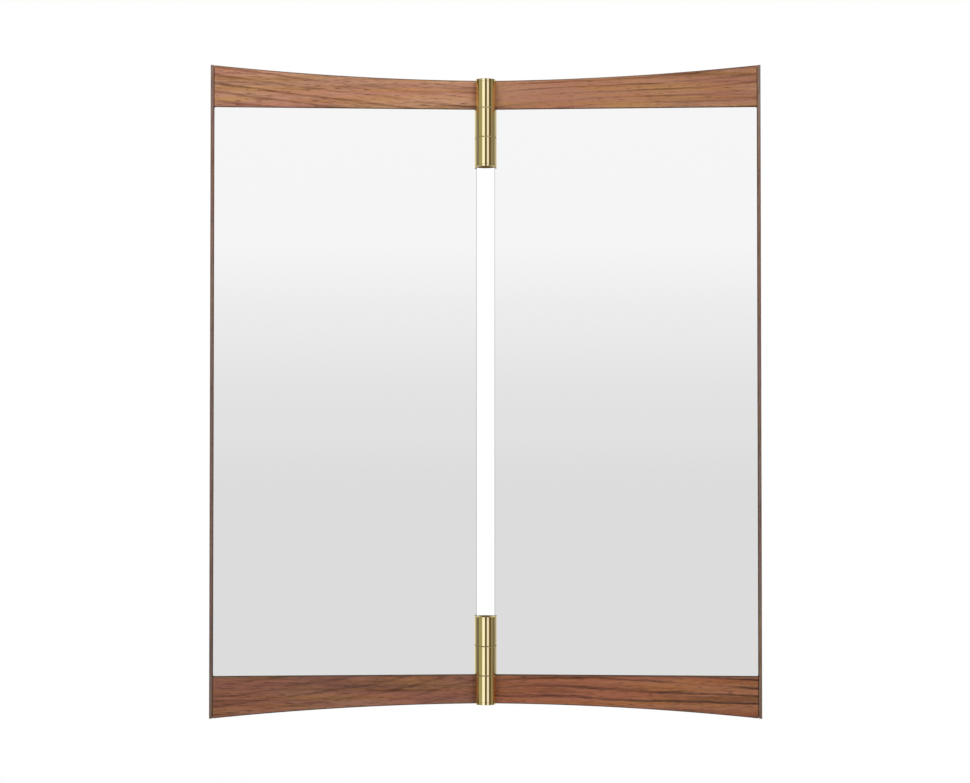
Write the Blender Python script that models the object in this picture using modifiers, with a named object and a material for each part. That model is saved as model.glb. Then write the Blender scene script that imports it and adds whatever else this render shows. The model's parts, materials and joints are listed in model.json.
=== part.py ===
"""Folding wall mirror: two walnut-framed mirror panels joined by two brass barrel hinges.

The left panel hangs on the wall and the right panel swings on the hinges. +X is to the viewer's
right, +Y into the wall and +Z up. The origin is the centre of the fixed panel's back face.

Inside a panel a place is given by three numbers: reach, the distance from the hinge axis along
the panel, depth, the distance behind the hinge axis, and height above mid-height. Both panels
are built by the same functions: each hangs on an empty that stands on the hinge axis.
"""

import math
from collections import namedtuple

import bmesh
import bpy
from mathutils import Vector

MM = 0.001
GAP = 0.3 * MM

# Panel outline
PANEL_WIDTH = 286.0 * MM
INNER_EDGE = 9.2 * MM
OUTER_EDGE = INNER_EDGE + PANEL_WIDTH
OUTER_HALF_HEIGHT = 350.0 * MM
INNER_HALF_HEIGHT = 335.9 * MM
PANEL_THICKNESS = 20.0 * MM
FRONT = 6.4 * MM
BACK = FRONT + PANEL_THICKNESS
ARC_STEPS = 24

# Mirror glass and what it lies on
GLASS_HALF_HEIGHT = 304.7 * MM
GLASS_THICKNESS = 4.0 * MM
GLASS_RECESS = 0.5 * MM
GLASS_TO_RAIL = GAP
TAPE_THICKNESS = 0.8 * MM
TAPE_WIDTH = 25.0 * MM
TAPE_HALF_HEIGHT = 290.0 * MM
TAPE_INSET = 60.0 * MM

# Frame members
LIP_WIDTH = 3.5 * MM
INNER_STILE_WIDTH = 24.7 * MM
OUTER_STILE_WIDTH = 22.0 * MM
RAIL_EDGE = GLASS_HALF_HEIGHT + GLASS_TO_RAIL
STILE_END = RAIL_EDGE - GAP
GLASS_BACK = FRONT + GLASS_RECESS + GLASS_THICKNESS
STILE_FRONT = GLASS_BACK + GAP + TAPE_THICKNESS + GAP
LIP_REACH = OUTER_EDGE - LIP_WIDTH
STILE_DEPTH = (STILE_FRONT + BACK) / 2

# Dowels between rails and stiles
DOWEL_RADIUS = 4.0 * MM
DOWEL_IN_STILE = 16.5 * MM
DOWEL_IN_RAIL = 15.0 * MM
DOWEL_REACHES = {"inner": 26.0 * MM, "outer": 280.5 * MM}

# Barrel hinges
BARREL_RADIUS = 10.75 * MM
HINGE_LENGTH = 94.5 * MM
CAP_THICKNESS = 2.4 * MM
CAP_CHAMFER = 0.6 * MM
SPLITS = (31.1 * MM, 62.5 * MM)
WASHER_THICKNESS = 0.5 * MM
WASHER_RADIUS = 10.5 * MM
PIN_RADIUS = 4.0 * MM
LEAF_THICKNESS = 2.2 * MM
LEAF_FRONT = 9.2 * MM
LEAF_BACK = BACK - 1.0 * MM
LEAF_OUTER = INNER_EDGE - GAP
LEAF_INNER = LEAF_OUTER - LEAF_THICKNESS
WEB_FRONT = 2.0 * MM
LEAF_SCREW_DEPTH = 17.3 * MM
LEAF_SCREWS = {"rail": 15.7 * MM, "middle": 52.0 * MM, "end": 79.0 * MM}

# Countersunk wood screws
SHANK_RADIUS = 1.75 * MM
HEAD_RADIUS = 3.4 * MM
HEAD_HEIGHT = 1.6 * MM
HEAD_SINK = 0.2 * MM
TIP_LENGTH = 3.0 * MM
SCREW_LENGTH = 14.0 * MM
SLOT_WIDTH = 0.9 * MM
SLOT_DEPTH = 0.8 * MM
LEAD_LENGTH = 1.0 * MM
LEAD_OVERLAP = 0.01 * MM

# Keyhole hangers let into the back of the fixed panel's top rail
HANGER_OFFSET = 90.0 * MM
HANGER_HEIGHT = 320.0 * MM
HANGER_SIZE = (46.0 * MM, 2.0 * MM, 18.0 * MM)
HANGER_SCREW_OFFSET = 17.0 * MM
KEYHOLE_ENTRY_RADIUS = 5.0 * MM
KEYHOLE_ENTRY_DROP = 2.5 * MM
KEYHOLE_SLOT_RADIUS = 2.6 * MM
KEYHOLE_SLOT_RISE = 4.9 * MM
KEYHOLE_POCKET = (15.0 * MM, 10.0 * MM, 16.4 * MM)

# Felt bumpers behind the swinging panel
BUMPER_RADIUS = 8.0 * MM
BUMPER_THICKNESS = 1.5 * MM
BUMPER_HEIGHT = 285.0 * MM

# Place of the hinge axis and the fold at rest
AXIS_X = INNER_EDGE + PANEL_WIDTH / 2
AXIS_Y = -BACK
REST_FOLD = math.radians(8.0)

ROUND = 40
SMALL_ROUND = 20
SMOOTH_BELOW = math.radians(40.0)
MERGE_DISTANCE = 0.000001

# A cylinder's own axis is Z: the first of these turns it through the panel, the second leaves it
ALONG_DEPTH = (-math.pi / 2, 0.0, 0.0)
UPRIGHT = (0.0, 0.0, 0.0)

COLOURS = {  # base colour, roughness, metallic
    "walnut_rail": ((0.30, 0.155, 0.092), 0.45, 0.0),
    "walnut_stile": ((0.16, 0.085, 0.055), 0.50, 0.0),
    "back_veneer": ((0.26, 0.135, 0.080), 0.55, 0.0),
    "mirror": ((0.90, 0.91, 0.92), 0.02, 1.0),
    "brass": ((0.78, 0.60, 0.26), 0.15, 1.0),
    "steel": ((0.55, 0.56, 0.57), 0.35, 1.0),
    "nylon": ((0.33, 0.26, 0.12), 0.45, 0.0),
    "tape": ((0.80, 0.80, 0.78), 0.80, 0.0),
    "dowel_beech": ((0.62, 0.45, 0.28), 0.65, 0.0),
    "felt": ((0.10, 0.08, 0.07), 0.95, 0.0),
}

Panel = namedtuple("Panel", "name side pivot")


def clear_scene():
    for old in list(bpy.data.objects):
        bpy.data.objects.remove(old)


def new_collection(name):
    collection = bpy.data.collections.new(name)
    bpy.context.scene.collection.children.link(collection)
    return collection


def make_material(name):
    colour, roughness, metallic = COLOURS[name]
    material = bpy.data.materials.new(name)
    material.use_nodes = True
    shader = material.node_tree.nodes["Principled BSDF"]
    shader.inputs["Base Color"].default_value = (*colour, 1.0)
    shader.inputs["Roughness"].default_value = roughness
    shader.inputs["Metallic"].default_value = metallic
    return material


clear_scene()
PARTS = new_collection("folding_wall_mirror")
CUTTERS = new_collection("cutters")
MATERIALS = {name: make_material(name) for name in COLOURS}


def add_pivot(name, fold):
    """An empty on the hinge axis, turned by the panel's fold towards the viewer."""
    pivot = bpy.data.objects.new(name, None)
    PARTS.objects.link(pivot)
    pivot.location = (AXIS_X, AXIS_Y, 0.0)
    pivot.rotation_euler = (0.0, 0.0, -fold)
    return pivot


def add_object(name, mesh, panel, place, turn=UPRIGHT, material=None):
    """A piece when it has a material, and a hidden cutter when it has none."""
    piece = bpy.data.objects.new(name, mesh)
    piece.parent = panel.pivot
    piece.location = place
    piece.rotation_euler = turn
    if material is None:
        CUTTERS.objects.link(piece)
        piece.hide_render = True
        piece.display_type = "WIRE"
    else:
        PARTS.objects.link(piece)
        mesh.materials.append(MATERIALS[material])
    return piece


def spot(panel, reach, depth, height):
    """A place in the panel, as a vector from its pivot."""
    return Vector((panel.side * reach, depth, height))


def add_block(name, panel, reaches, depths, heights, material=None):
    """A rectangular block between two reaches, two depths and two heights."""
    ranges = (reaches, depths, heights)
    size = Vector([high - low for low, high in ranges])
    middle = [(low + high) / 2 for low, high in ranges]
    form = bmesh.new()
    bmesh.ops.create_cube(form, size=1.0)
    bmesh.ops.scale(form, vec=size, verts=form.verts)
    mesh = bpy.data.meshes.new(name)
    form.to_mesh(mesh)
    form.free()
    return add_object(name, mesh, panel, spot(panel, *middle), material=material)


def add_cylinder(name, panel, place, radius, length, turn, steps=SMALL_ROUND, top=None, material=None):
    """A cylinder, or a cone when it has a top radius, centred on a place."""
    form = bmesh.new()
    bmesh.ops.create_cone(
        form,
        cap_ends=True,
        segments=steps,
        radius1=radius,
        radius2=radius if top is None else top,
        depth=length,
    )
    mesh = bpy.data.meshes.new(name)
    form.to_mesh(mesh)
    form.free()
    mesh.shade_smooth()
    mesh.set_sharp_from_angle(angle=SMOOTH_BELOW)
    return add_object(name, mesh, panel, place, turn, material)


def baked(name, data, add_modifiers=None):
    """The evaluated mesh of a curve or of a mesh with modifiers."""
    source = bpy.data.objects.new(name + "_source", data)
    bpy.context.scene.collection.objects.link(source)
    if add_modifiers is not None:
        add_modifiers(source)
    bpy.context.view_layer.update()
    mesh = bpy.data.meshes.new_from_object(
        source.evaluated_get(bpy.context.evaluated_depsgraph_get())
    )
    bpy.data.objects.remove(source)
    return mesh


def add_turned(name, panel, place, profile, closed, turn, steps, material):
    """A turned piece: a profile of (radius, height) points, top to bottom on its outer side."""
    outline = bpy.data.meshes.new(name + "_profile")
    points = [(radius, 0.0, height) for radius, height in profile]
    edges = [(i, i + 1) for i in range(len(points) - 1)]
    if closed:
        edges.append((len(points) - 1, 0))
    outline.from_pydata(points, edges, [])

    def spin(source):
        screw = source.modifiers.new("turn", "SCREW")
        screw.axis = "Z"
        screw.steps = steps
        screw.render_steps = steps
        screw.use_merge_vertices = True
        screw.merge_threshold = MERGE_DISTANCE

    mesh = baked(name, outline, spin)
    mesh.shade_smooth()
    mesh.set_sharp_from_angle(angle=SMOOTH_BELOW)
    return add_object(name, mesh, panel, place, turn, material)


def add_outline(name, panel, points, material):
    """A flat outline of (reach, height) points, as thick as the panel."""
    curve = bpy.data.curves.new(name, "CURVE")
    curve.dimensions = "2D"
    curve.fill_mode = "BOTH"
    curve.extrude = PANEL_THICKNESS / 2
    spline = curve.splines.new("POLY")
    spline.points.add(len(points) - 1)
    for point, (reach, height) in zip(spline.points, points):
        point.co = (panel.side * reach, height, 0.0, 1.0)
    spline.use_cyclic_u = True
    mesh = baked(name, curve)
    form = bmesh.new()
    form.from_mesh(mesh)
    bmesh.ops.remove_doubles(form, verts=form.verts, dist=MERGE_DISTANCE)
    bmesh.ops.recalc_face_normals(form, faces=form.faces)
    form.to_mesh(mesh)
    form.free()
    place = (0.0, FRONT + PANEL_THICKNESS / 2, 0.0)
    return add_object(name, mesh, panel, place, (math.pi / 2, 0.0, 0.0), material)


def combine(piece, tool, operation):
    modifier = piece.modifiers.new(tool.name, "BOOLEAN")
    modifier.operation = operation
    modifier.solver = "EXACT"
    modifier.object = tool


def cut(piece, *cutters):
    for cutter in cutters:
        combine(piece, cutter, "DIFFERENCE")


def fuse(piece, *additions):
    for addition in additions:
        combine(piece, addition, "UNION")


def arc_height(reach):
    """Half height of a panel: a circular arc, lowest over the hinge axis."""
    rise = OUTER_HALF_HEIGHT - INNER_HALF_HEIGHT
    radius = (OUTER_EDGE ** 2 + rise ** 2) / (2 * rise)
    return INNER_HALF_HEIGHT + radius - math.sqrt(radius ** 2 - reach ** 2)


def screw_profile():
    """Countersunk head, shank and point, from the flat of the head down."""
    return [
        (0.0, 0.0),
        (HEAD_RADIUS, 0.0),
        (SHANK_RADIUS, -HEAD_HEIGHT),
        (SHANK_RADIUS, TIP_LENGTH - SCREW_LENGTH),
        (0.0, -SCREW_LENGTH),
    ]


def add_screw(name, panel, face, turn, inward, slot_size, material):
    """A slotted screw whose head lies just under a face, with its point going inward."""
    head = face + inward * HEAD_SINK
    screw = add_turned(name, panel, head, screw_profile(), False, turn, SMALL_ROUND, material)
    form = bmesh.new()
    bmesh.ops.create_cube(form, size=1.0)
    bmesh.ops.scale(form, vec=slot_size, verts=form.verts)
    mesh = bpy.data.meshes.new(name + "_slot")
    form.to_mesh(mesh)
    form.free()
    cut(screw, add_object(name + "_slot", mesh, panel, head))


def screw_hole(name, panel, face, turn, inward):
    """Cutters for a countersunk screw: its clearance bore and its cone, from a face inward."""
    bore_length = HEAD_SINK + SCREW_LENGTH + GAP
    bore = add_cylinder(
        name + "_bore",
        panel,
        face + inward * (bore_length / 2),
        SHANK_RADIUS + GAP,
        bore_length + 2 * MM,
        turn,
    )
    cone_length = HEAD_SINK + HEAD_HEIGHT
    cone = add_cylinder(
        name + "_cone",
        panel,
        face + inward * (cone_length / 2),
        SHANK_RADIUS + GAP,
        cone_length,
        turn,
        top=HEAD_RADIUS + GAP + HEAD_SINK,
    )
    lead = add_cylinder(
        name + "_lead",
        panel,
        face - inward * (LEAD_LENGTH / 2 - LEAD_OVERLAP),
        HEAD_RADIUS + GAP + HEAD_SINK,
        LEAD_LENGTH,
        turn,
    )
    return bore, cone, lead


def build_rail(panel, end, sign):
    """A top or bottom rail: straight along the glass, with the panel's arc on its outer edge."""
    outer = LIP_REACH - GAP
    arc = [INNER_EDGE + (outer - INNER_EDGE) * step / ARC_STEPS for step in range(ARC_STEPS + 1)]
    points = [(INNER_EDGE, sign * RAIL_EDGE), (outer, sign * RAIL_EDGE)]
    points += [(reach, sign * arc_height(reach)) for reach in reversed(arc)]
    return add_outline(f"{panel.name}_{end}_rail", panel, points, "walnut_rail")


def build_outer_stile(panel):
    """The outer stile: a thin lip of the panel's full height, and a wider part behind the glass."""
    points = [
        (LIP_REACH, -arc_height(LIP_REACH)),
        (OUTER_EDGE, -OUTER_HALF_HEIGHT),
        (OUTER_EDGE, OUTER_HALF_HEIGHT),
        (LIP_REACH, arc_height(LIP_REACH)),
    ]
    stile = add_outline(f"{panel.name}_outer_stile", panel, points, "walnut_stile")
    rear = add_block(
        f"{panel.name}_outer_stile_rear",
        panel,
        (LIP_REACH - OUTER_STILE_WIDTH, LIP_REACH + LIP_WIDTH / 2),
        (STILE_FRONT, BACK),
        (-STILE_END, STILE_END),
    )
    fuse(stile, rear)
    return stile


def build_inner_stile(panel):
    return add_block(
        f"{panel.name}_inner_stile",
        panel,
        (INNER_EDGE, INNER_EDGE + INNER_STILE_WIDTH),
        (STILE_FRONT, BACK),
        (-STILE_END, STILE_END),
        "walnut_stile",
    )


def build_core(panel):
    """Backing board between the stiles, two strips of mounting tape, and the mirror glass."""
    board_inner = INNER_EDGE + INNER_STILE_WIDTH + GAP
    board_outer = LIP_REACH - OUTER_STILE_WIDTH - GAP
    add_block(
        f"{panel.name}_backing_board",
        panel,
        (board_inner, board_outer),
        (STILE_FRONT, BACK),
        (-STILE_END, STILE_END),
        "back_veneer",
    )
    tape_starts = {"inner": INNER_EDGE + TAPE_INSET, "outer": OUTER_EDGE - TAPE_INSET - TAPE_WIDTH}
    for place, start in tape_starts.items():
        add_block(
            f"{panel.name}_mirror_tape_{place}",
            panel,
            (start, start + TAPE_WIDTH),
            (GLASS_BACK + GAP, GLASS_BACK + GAP + TAPE_THICKNESS),
            (-TAPE_HALF_HEIGHT, TAPE_HALF_HEIGHT),
            "tape",
        )
    add_block(
        f"{panel.name}_mirror_glass",
        panel,
        (INNER_EDGE, LIP_REACH - GAP),
        (FRONT + GLASS_RECESS, GLASS_BACK),
        (-GLASS_HALF_HEIGHT, GLASS_HALF_HEIGHT),
        "mirror",
    )


def build_dowel(panel, rail, stile, end, sign, place):
    """A dowel across the joint of a rail and a stile, and its blind hole in both."""
    low = STILE_END - DOWEL_IN_STILE
    high = RAIL_EDGE + DOWEL_IN_RAIL
    centre = spot(panel, DOWEL_REACHES[place], STILE_DEPTH, sign * (low + high) / 2)
    name = f"{panel.name}_dowel_{end}_{place}"
    add_cylinder(name, panel, centre, DOWEL_RADIUS, high - low, UPRIGHT, material="dowel_beech")
    hole = add_cylinder(
        name + "_hole", panel, centre, DOWEL_RADIUS + GAP, high - low + 2 * GAP, UPRIGHT
    )
    cut(rail, hole)
    cut(stile, hole)


def build_panel(panel):
    """The wooden frame, board, tape, glass and dowels of one panel. Returns what hinges screw to."""
    inner_stile = build_inner_stile(panel)
    outer_stile = build_outer_stile(panel)
    rails = {}
    for end, sign in (("top", 1), ("bottom", -1)):
        rails[end] = build_rail(panel, end, sign)
        for place, stile in (("inner", inner_stile), ("outer", outer_stile)):
            build_dowel(panel, rails[end], stile, end, sign, place)
    build_core(panel)
    return rails, inner_stile


def hinge_heights(sign, start, stop):
    """Two distances from the hinge's outer end, as heights in rising order."""
    ends = (sign * (INNER_HALF_HEIGHT - start), sign * (INNER_HALF_HEIGHT - stop))
    return min(ends), max(ends)


def knuckle_spans():
    """Distances from the hinge's outer end to both ends of each of its three knuckles."""
    half_joint = WASHER_THICKNESS / 2 + GAP
    first, second = SPLITS
    return (
        (CAP_THICKNESS + GAP, first - half_joint),
        (first + half_joint, second - half_joint),
        (second + half_joint, HINGE_LENGTH - CAP_THICKNESS - GAP),
    )


def build_leaf(panel, end, sign, spans, rail, stile):
    """One hinge leaf: a plate on the panel's inner edge, with a web and a barrel at each knuckle."""
    name = f"{end}_hinge_{panel.name}_leaf"
    plate_heights = hinge_heights(sign, CAP_THICKNESS, HINGE_LENGTH - CAP_THICKNESS)
    leaf = add_block(
        name, panel, (LEAF_INNER, LEAF_OUTER), (LEAF_FRONT, LEAF_BACK), plate_heights, "brass"
    )
    for number, span in enumerate(spans):
        low, high = hinge_heights(sign, *span)
        web = add_block(
            f"{name}_web_{number}",
            panel,
            (LEAF_INNER, LEAF_OUTER),
            (WEB_FRONT, LEAF_FRONT + MM),
            (low, high),
        )
        middle = Vector((0.0, 0.0, (low + high) / 2))
        barrel = add_cylinder(
            f"{name}_barrel_{number}", panel, middle, BARREL_RADIUS, high - low, UPRIGHT, ROUND
        )
        fuse(leaf, web, barrel)
    bore_heights = hinge_heights(sign, 0.0, HINGE_LENGTH)
    bore = add_cylinder(
        f"{name}_bore",
        panel,
        Vector((0.0, 0.0, sum(bore_heights) / 2)),
        PIN_RADIUS + GAP,
        HINGE_LENGTH,
        UPRIGHT,
    )
    cut(leaf, bore)
    outward = Vector((panel.side, 0.0, 0.0))
    turn = (0.0, -panel.side * math.pi / 2, 0.0)
    for place, distance in LEAF_SCREWS.items():
        height = sign * (INNER_HALF_HEIGHT - distance)
        face = spot(panel, LEAF_INNER, LEAF_SCREW_DEPTH, height)
        screw_name = f"{name}_screw_{place}"
        slot_size = Vector((2 * SLOT_DEPTH, 3 * HEAD_RADIUS, SLOT_WIDTH))
        add_screw(screw_name, panel, face, turn, outward, slot_size, "brass")
        holes = screw_hole(screw_name, panel, face, turn, outward)
        cut(leaf, *holes)
        cut(rail if place == "rail" else stile, holes[0])


def build_barrel_fittings(panel, end, sign):
    """What the fixed side holds on the hinge axis: the pin, two end caps and two washers."""
    low, high = hinge_heights(sign, CAP_THICKNESS + GAP, HINGE_LENGTH - CAP_THICKNESS - GAP)
    add_cylinder(
        f"{end}_hinge_pin",
        panel,
        Vector((0.0, 0.0, (low + high) / 2)),
        PIN_RADIUS,
        high - low,
        UPRIGHT,
        material="steel",
    )
    cap_profile = [
        (0.0, CAP_THICKNESS / 2),
        (BARREL_RADIUS - CAP_CHAMFER, CAP_THICKNESS / 2),
        (BARREL_RADIUS, CAP_THICKNESS / 2 - CAP_CHAMFER),
        (BARREL_RADIUS, -CAP_THICKNESS / 2),
        (0.0, -CAP_THICKNESS / 2),
    ]
    cap_spots = {"outer": CAP_THICKNESS / 2, "inner": HINGE_LENGTH - CAP_THICKNESS / 2}
    for place, distance in cap_spots.items():
        height = sign * (INNER_HALF_HEIGHT - distance)
        upward = (sign > 0) == (place == "outer")
        turn = UPRIGHT if upward else (math.pi, 0.0, 0.0)
        centre = Vector((0.0, 0.0, height))
        add_turned(
            f"{end}_hinge_cap_{place}", panel, centre, cap_profile, False, turn, ROUND, "brass"
        )
    washer_profile = [
        (WASHER_RADIUS, WASHER_THICKNESS / 2),
        (WASHER_RADIUS, -WASHER_THICKNESS / 2),
        (PIN_RADIUS + GAP, -WASHER_THICKNESS / 2),
        (PIN_RADIUS + GAP, WASHER_THICKNESS / 2),
    ]
    for place, distance in zip(("outer", "inner"), SPLITS):
        centre = Vector((0.0, 0.0, sign * (INNER_HALF_HEIGHT - distance)))
        add_turned(
            f"{end}_hinge_washer_{place}",
            panel,
            centre,
            washer_profile,
            True,
            UPRIGHT,
            ROUND,
            "nylon",
        )


def build_hinge(fixed, swing, end, sign, frames):
    """A three-knuckle barrel hinge: outer knuckles on the fixed leaf, middle on the swinging one."""
    spans = knuckle_spans()
    for panel, own_spans in ((fixed, (spans[0], spans[2])), (swing, (spans[1],))):
        rails, inner_stile = frames[panel.name]
        build_leaf(panel, end, sign, own_spans, rails[end], inner_stile)
    build_barrel_fittings(fixed, end, sign)


def build_hanger(panel, label, reach, rail):
    """A keyhole plate let in flush with the rail's back, its pocket, and its two screws."""
    width, thickness, height = HANGER_SIZE
    name = f"wall_hanger_{label}"
    plate = add_block(
        name,
        panel,
        (reach - width / 2, reach + width / 2),
        (BACK - thickness, BACK),
        (HANGER_HEIGHT - height / 2, HANGER_HEIGHT + height / 2),
        "steel",
    )
    recess = add_block(
        name + "_recess",
        panel,
        (reach - width / 2 - GAP, reach + width / 2 + GAP),
        (BACK - thickness - GAP, BACK + MM),
        (HANGER_HEIGHT - height / 2 - GAP, HANGER_HEIGHT + height / 2 + GAP),
    )
    pocket_width, pocket_depth, pocket_height = KEYHOLE_POCKET
    pocket = add_block(
        name + "_pocket",
        panel,
        (reach - pocket_width / 2, reach + pocket_width / 2),
        (BACK - pocket_depth, BACK + MM),
        (HANGER_HEIGHT - pocket_height / 2, HANGER_HEIGHT + pocket_height / 2),
    )
    cut(rail, recess, pocket)
    middle_depth = BACK - thickness / 2
    entry_height = HANGER_HEIGHT - KEYHOLE_ENTRY_DROP
    slot_height = HANGER_HEIGHT + KEYHOLE_SLOT_RISE
    entry_place = spot(panel, reach, middle_depth, entry_height)
    entry = add_cylinder(
        name + "_entry", panel, entry_place, KEYHOLE_ENTRY_RADIUS, 3 * thickness, ALONG_DEPTH
    )
    slot_place = spot(panel, reach, middle_depth, slot_height)
    slot_end = add_cylinder(
        name + "_slot_end", panel, slot_place, KEYHOLE_SLOT_RADIUS, 3 * thickness, ALONG_DEPTH
    )
    slot = add_block(
        name + "_slot",
        panel,
        (reach - KEYHOLE_SLOT_RADIUS, reach + KEYHOLE_SLOT_RADIUS),
        (BACK - 2 * thickness, BACK + thickness),
        (entry_height, slot_height),
    )
    cut(plate, entry, slot_end, slot)
    inward = Vector((0.0, -1.0, 0.0))
    slot_size = Vector((3 * HEAD_RADIUS, 2 * SLOT_DEPTH, SLOT_WIDTH))
    for side, offset in (("a", -HANGER_SCREW_OFFSET), ("b", HANGER_SCREW_OFFSET)):
        face = spot(panel, reach + offset, BACK, HANGER_HEIGHT)
        screw_name = f"{name}_screw_{side}"
        add_screw(screw_name, panel, face, ALONG_DEPTH, inward, slot_size, "steel")
        holes = screw_hole(screw_name, panel, face, ALONG_DEPTH, inward)
        cut(plate, *holes)
        cut(rail, holes[0])


def build_bumpers(panel):
    """Felt discs on the outer stile's back, which meet the wall when the mirror is opened flat."""
    for label, sign in (("top", 1), ("bottom", -1)):
        depth = BACK + GAP + BUMPER_THICKNESS / 2
        place = spot(panel, DOWEL_REACHES["outer"], depth, sign * BUMPER_HEIGHT)
        name = f"{panel.name}_bumper_{label}"
        add_cylinder(
            name, panel, place, BUMPER_RADIUS, BUMPER_THICKNESS, ALONG_DEPTH, material="felt"
        )


def build():
    fixed = Panel("fixed", -1, add_pivot("fixed_pivot", 0.0))
    swing = Panel("swing", 1, add_pivot("swing_pivot", REST_FOLD))
    frames = {panel.name: build_panel(panel) for panel in (fixed, swing)}
    for end, sign in (("top", 1), ("bottom", -1)):
        build_hinge(fixed, swing, end, sign, frames)
    fixed_top_rail = frames["fixed"][0]["top"]
    build_hanger(fixed, "left", AXIS_X + HANGER_OFFSET, fixed_top_rail)
    build_hanger(fixed, "right", AXIS_X - HANGER_OFFSET, fixed_top_rail)
    build_bumpers(swing)


build()
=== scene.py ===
"""Looks of the folding wall mirror: walnut, silvered glass, polished brass, steel and felt.

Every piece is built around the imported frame. Inside a panel a place is (side * reach, depth,
height) from the hinge axis, as in the CAD, and the spans of the pieces are read from the frame.
"""

import json
import math
from collections import namedtuple

import bmesh
import bpy
from mathutils import Matrix, Vector

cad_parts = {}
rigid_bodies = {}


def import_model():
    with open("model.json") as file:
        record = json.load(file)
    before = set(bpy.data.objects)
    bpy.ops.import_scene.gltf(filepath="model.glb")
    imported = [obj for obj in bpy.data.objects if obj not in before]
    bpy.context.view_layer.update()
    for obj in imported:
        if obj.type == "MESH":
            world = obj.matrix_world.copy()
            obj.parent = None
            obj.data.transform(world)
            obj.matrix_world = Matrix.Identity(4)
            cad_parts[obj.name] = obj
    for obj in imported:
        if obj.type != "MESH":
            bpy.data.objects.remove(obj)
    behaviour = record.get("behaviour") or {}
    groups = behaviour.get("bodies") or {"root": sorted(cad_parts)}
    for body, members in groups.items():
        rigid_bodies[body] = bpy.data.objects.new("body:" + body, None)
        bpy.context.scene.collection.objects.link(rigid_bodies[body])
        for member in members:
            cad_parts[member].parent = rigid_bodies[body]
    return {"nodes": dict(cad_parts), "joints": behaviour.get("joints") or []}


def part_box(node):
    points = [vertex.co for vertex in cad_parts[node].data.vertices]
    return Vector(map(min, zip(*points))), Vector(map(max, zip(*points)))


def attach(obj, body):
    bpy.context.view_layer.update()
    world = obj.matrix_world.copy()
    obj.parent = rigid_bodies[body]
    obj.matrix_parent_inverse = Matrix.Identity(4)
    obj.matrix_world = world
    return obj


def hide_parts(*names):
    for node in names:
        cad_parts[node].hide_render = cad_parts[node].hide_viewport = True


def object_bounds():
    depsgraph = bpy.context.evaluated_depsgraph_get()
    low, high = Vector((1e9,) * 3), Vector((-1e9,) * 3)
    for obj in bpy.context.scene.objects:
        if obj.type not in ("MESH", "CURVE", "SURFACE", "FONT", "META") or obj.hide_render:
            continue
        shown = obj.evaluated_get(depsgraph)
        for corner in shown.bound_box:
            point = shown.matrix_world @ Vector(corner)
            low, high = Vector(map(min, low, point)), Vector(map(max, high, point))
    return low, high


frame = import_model()
cad_low, cad_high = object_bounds()

MM = 0.001

# Eased edges and fine clearances of the visible pieces
WOOD_EASE = 1.1 * MM
LIP_EASE = 0.5 * MM
BOARD_EASE = 0.4 * MM
PLATE_EASE = 0.25 * MM
CUT_EASE = 0.02 * MM
PACKED_GAP = 0.3 * MM
JOINT_FILL = 0.15 * MM
SLIVER = 0.003 * MM

# Edges that turn by more than this are eased, or stay sharp in the shading
EASED_ANGLE = math.radians(24)
SHARP_ANGLE = math.radians(32)
LEAF_SHARP_ANGLE = math.radians(24)
TURNED_SHARP_ANGLE = math.radians(28)
FELT_SHARP_ANGLE = math.radians(40)

# Steps of arcs and turned shapes, and the material slots that a mesh keeps through a cut
ARC_STEPS = 96
ROUND_STEPS = 128
SMALL_STEPS = 48
MATERIAL_PLACES = 3

# Outer stile: how far its wide rear part reaches into the lip, and how far short of the lip's back
# it stops
LIP_OVERLAP = 1.5 * MM
REAR_INSET = 0.02 * MM

# Mirror glass: its ground edge and bevel, and corners that the keyhole plates share
ARRIS = 0.35 * MM
BEVEL_WIDTH = 1.8 * MM
BEVEL_DROP = 0.034 * MM
FACET_ANGLE = math.radians(0.5)
CORNER_RADIUS = 1.6 * MM
SHARPEST_CORNER = 0.2 * MM
CORNER_STEPS = 6

# Hinges
KNUCKLE_CHAMFER = 0.06 * MM
KNUCKLE_SURPLUS = 0.5 * MM
WASHER_FILL = 0.22 * MM
CAP_CHAMFERS = {"outer": 0.25 * MM, "inner": 0.8 * MM}
CAP_BULGE = 0.35
CAP_RIM_WIDTH = 2.7 * MM
CAP_DISH_SLOPE = 0.5 * MM
CAP_DISH_DEPTH = 0.25 * MM
PLATE_SETBACK = 2.8 * MM
WEB_OVERLAP = 1.0 * MM
WEB_FRONT = 2.0 * MM
WEB_INSET = 0.01 * MM
WEB_EASE = 0.05 * MM

# Countersunk screws and their holes
SCREW_HEAD_RADIUS = 3.4 * MM
SCREW_RIM = 0.25 * MM
SCREW_CROWN = 0.15 * MM
SCREW_CONE_DEPTH = 1.7 * MM
SHANK_RADIUS = 1.75 * MM
SHANK_DEPTH = 4.0 * MM
SCREW_LENGTH = 14.0 * MM
SCREW_POINT = 2.4 * MM
THREAD_END = 3.0 * MM
THREAD_DEPTH = 0.45 * MM
THREAD_PITCH = 1.1 * MM
THREAD_FLANK = 0.35
SCREW_INSET = 0.2 * MM
DRIVE_HALF_WIDTH = 0.45 * MM
DRIVE_DEPTH = 0.8 * MM
HOLE_RADIUS = 2.05 * MM
SINK_RADIUS = 3.9 * MM
SINK_DEPTH = 1.8 * MM
HOLE_DEPTH = 9.0 * MM

# Keyhole plates: the entry and the slot's end are measured up from the plate's middle
HANGER_EASE = 0.3 * MM
ENTRY_RADIUS = 5.0 * MM
ENTRY_HEIGHT = -2.5 * MM
SLOT_RADIUS = 2.6 * MM
SLOT_HEIGHT = 4.9 * MM
POCKET_HALF_WIDTH = 7.5 * MM
POCKET_DEPTH = 10.0 * MM
POCKET_MARGIN = 0.8 * MM
POCKET_EASE = 0.05 * MM
CUT_BEYOND = 5.0 * MM

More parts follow.
